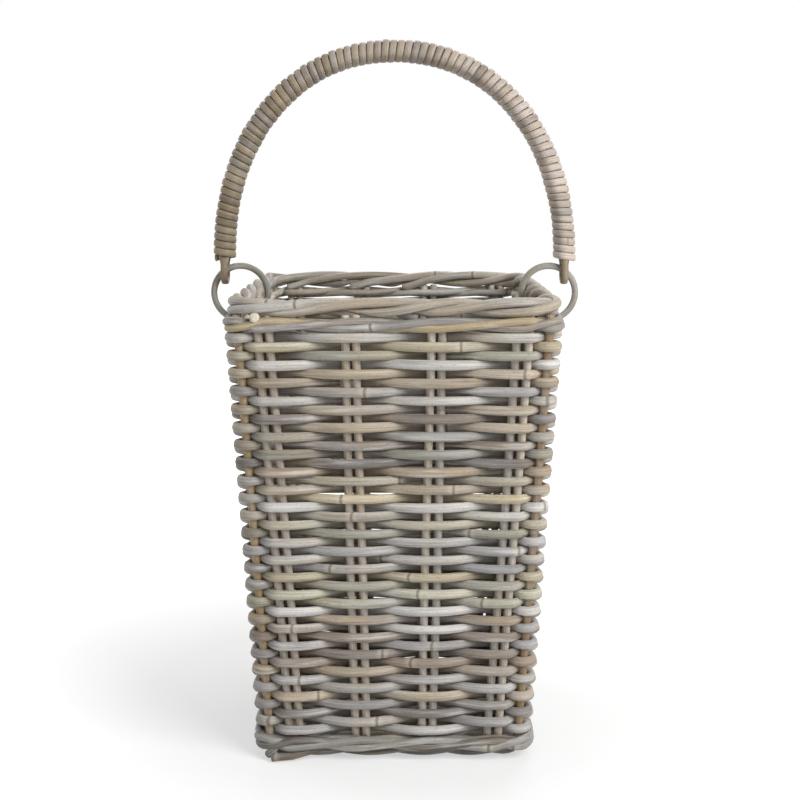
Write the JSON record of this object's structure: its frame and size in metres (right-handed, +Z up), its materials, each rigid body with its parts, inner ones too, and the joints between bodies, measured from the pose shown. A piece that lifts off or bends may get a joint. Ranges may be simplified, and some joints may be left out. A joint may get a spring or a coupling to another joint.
{
  "type": "stair basket",
  "caption": "Stepped basket woven of grey rattan that stands across two stairs, with a laid border and a cane-wrapped bail handle hung on two rings",
  "frame": {"origin": "On the floor under the middle of the rim's outline", "axes": "+Z up; the tall front wall faces -Y and the step is towards +Y; +X is to the right when facing the front wall"},
  "size_m": [0.3538, 0.3984, 0.627],
  "materials": {
    "weaver_rattan": "weathered grey rattan, dull with a slight polish on the outer bends",
    "stake_rattan": "peeled rattan rod, pinkish beige, matt",
    "border_rattan": "grey and brown rattan with chalky patches",
    "handle_cane": "flat cane with satin skin, taupe, dark in the seams",
    "handle_rod": "bare rattan rod, matt",
    "ring_rattan": "bent round rattan, grey-green, matt"
  },
  "bodies": {
    "basket": {"long_stake_1": "stake_rattan", "long_stake_2": "stake_rattan", "long_stake_3": "stake_rattan", "long_stake_4": "stake_rattan", "long_stake_5": "stake_rattan", "long_stake_6": "stake_rattan", "long_stake_7": "stake_rattan", "long_stake_8": "stake_rattan", "front_cross_stake_1": "stake_rattan", "front_cross_stake_2": "stake_rattan", "front_cross_stake_3": "stake_rattan", "front_cross_stake_4": "stake_rattan", "front_cross_stake_5": "stake_rattan", "front_cross_stake_6": "stake_rattan", "rear_cross_stake_1": "stake_rattan", "rear_cross_stake_2": "stake_rattan", "rear_cross_stake_3": "stake_rattan", "rear_cross_stake_4": "stake_rattan", "rear_cross_stake_5": "stake_rattan", "rear_cross_stake_6": "stake_rattan", "lower_weaver_1": "weaver_rattan", "lower_weaver_2": "weaver_rattan", "upper_weaver_1": "weaver_rattan", "upper_weaver_2": "weaver_rattan", "base_weaver": "weaver_rattan", "step_weaver": "weaver_rattan", "foot_hoop": "border_rattan", "step_hoop": "border_rattan", "foot_wale_1": "border_rattan", "foot_wale_2": "border_rattan", "step_wale": "border_rattan", "front_wale_1": "border_rattan", "front_wale_2": "border_rattan", "rear_wale_1": "border_rattan", "rear_wale_2": "border_rattan", "border_strand_1": "border_rattan", "border_strand_2": "border_rattan", "border_strand_3": "border_rattan"},
    "ring_left": {"ring_left": "ring_rattan"},
    "ring_right": {"ring_right": "ring_rattan"},
    "handle": {"handle_core": "handle_rod", "handle_wrap": "handle_cane"}
  },
  "joints": [
    {"name": "handle_swing", "type": "hinge", "parent": "basket", "child": "handle", "pos_m": [0, 0.024, 0.40997], "axis": [1, 0, 0], "range_deg": [-88, 88]},
    {"name": "ring_left_turn", "type": "hinge", "parent": "basket", "child": "ring_left", "pos_m": [-0.14802, 0.024, 0.38884], "axis": [0, 1, 0], "continuous": true},
    {"name": "ring_right_turn", "type": "hinge", "parent": "basket", "child": "ring_right", "pos_m": [0.14802, 0.024, 0.38884], "axis": [0, 1, 0], "continuous": true}
  ]
}
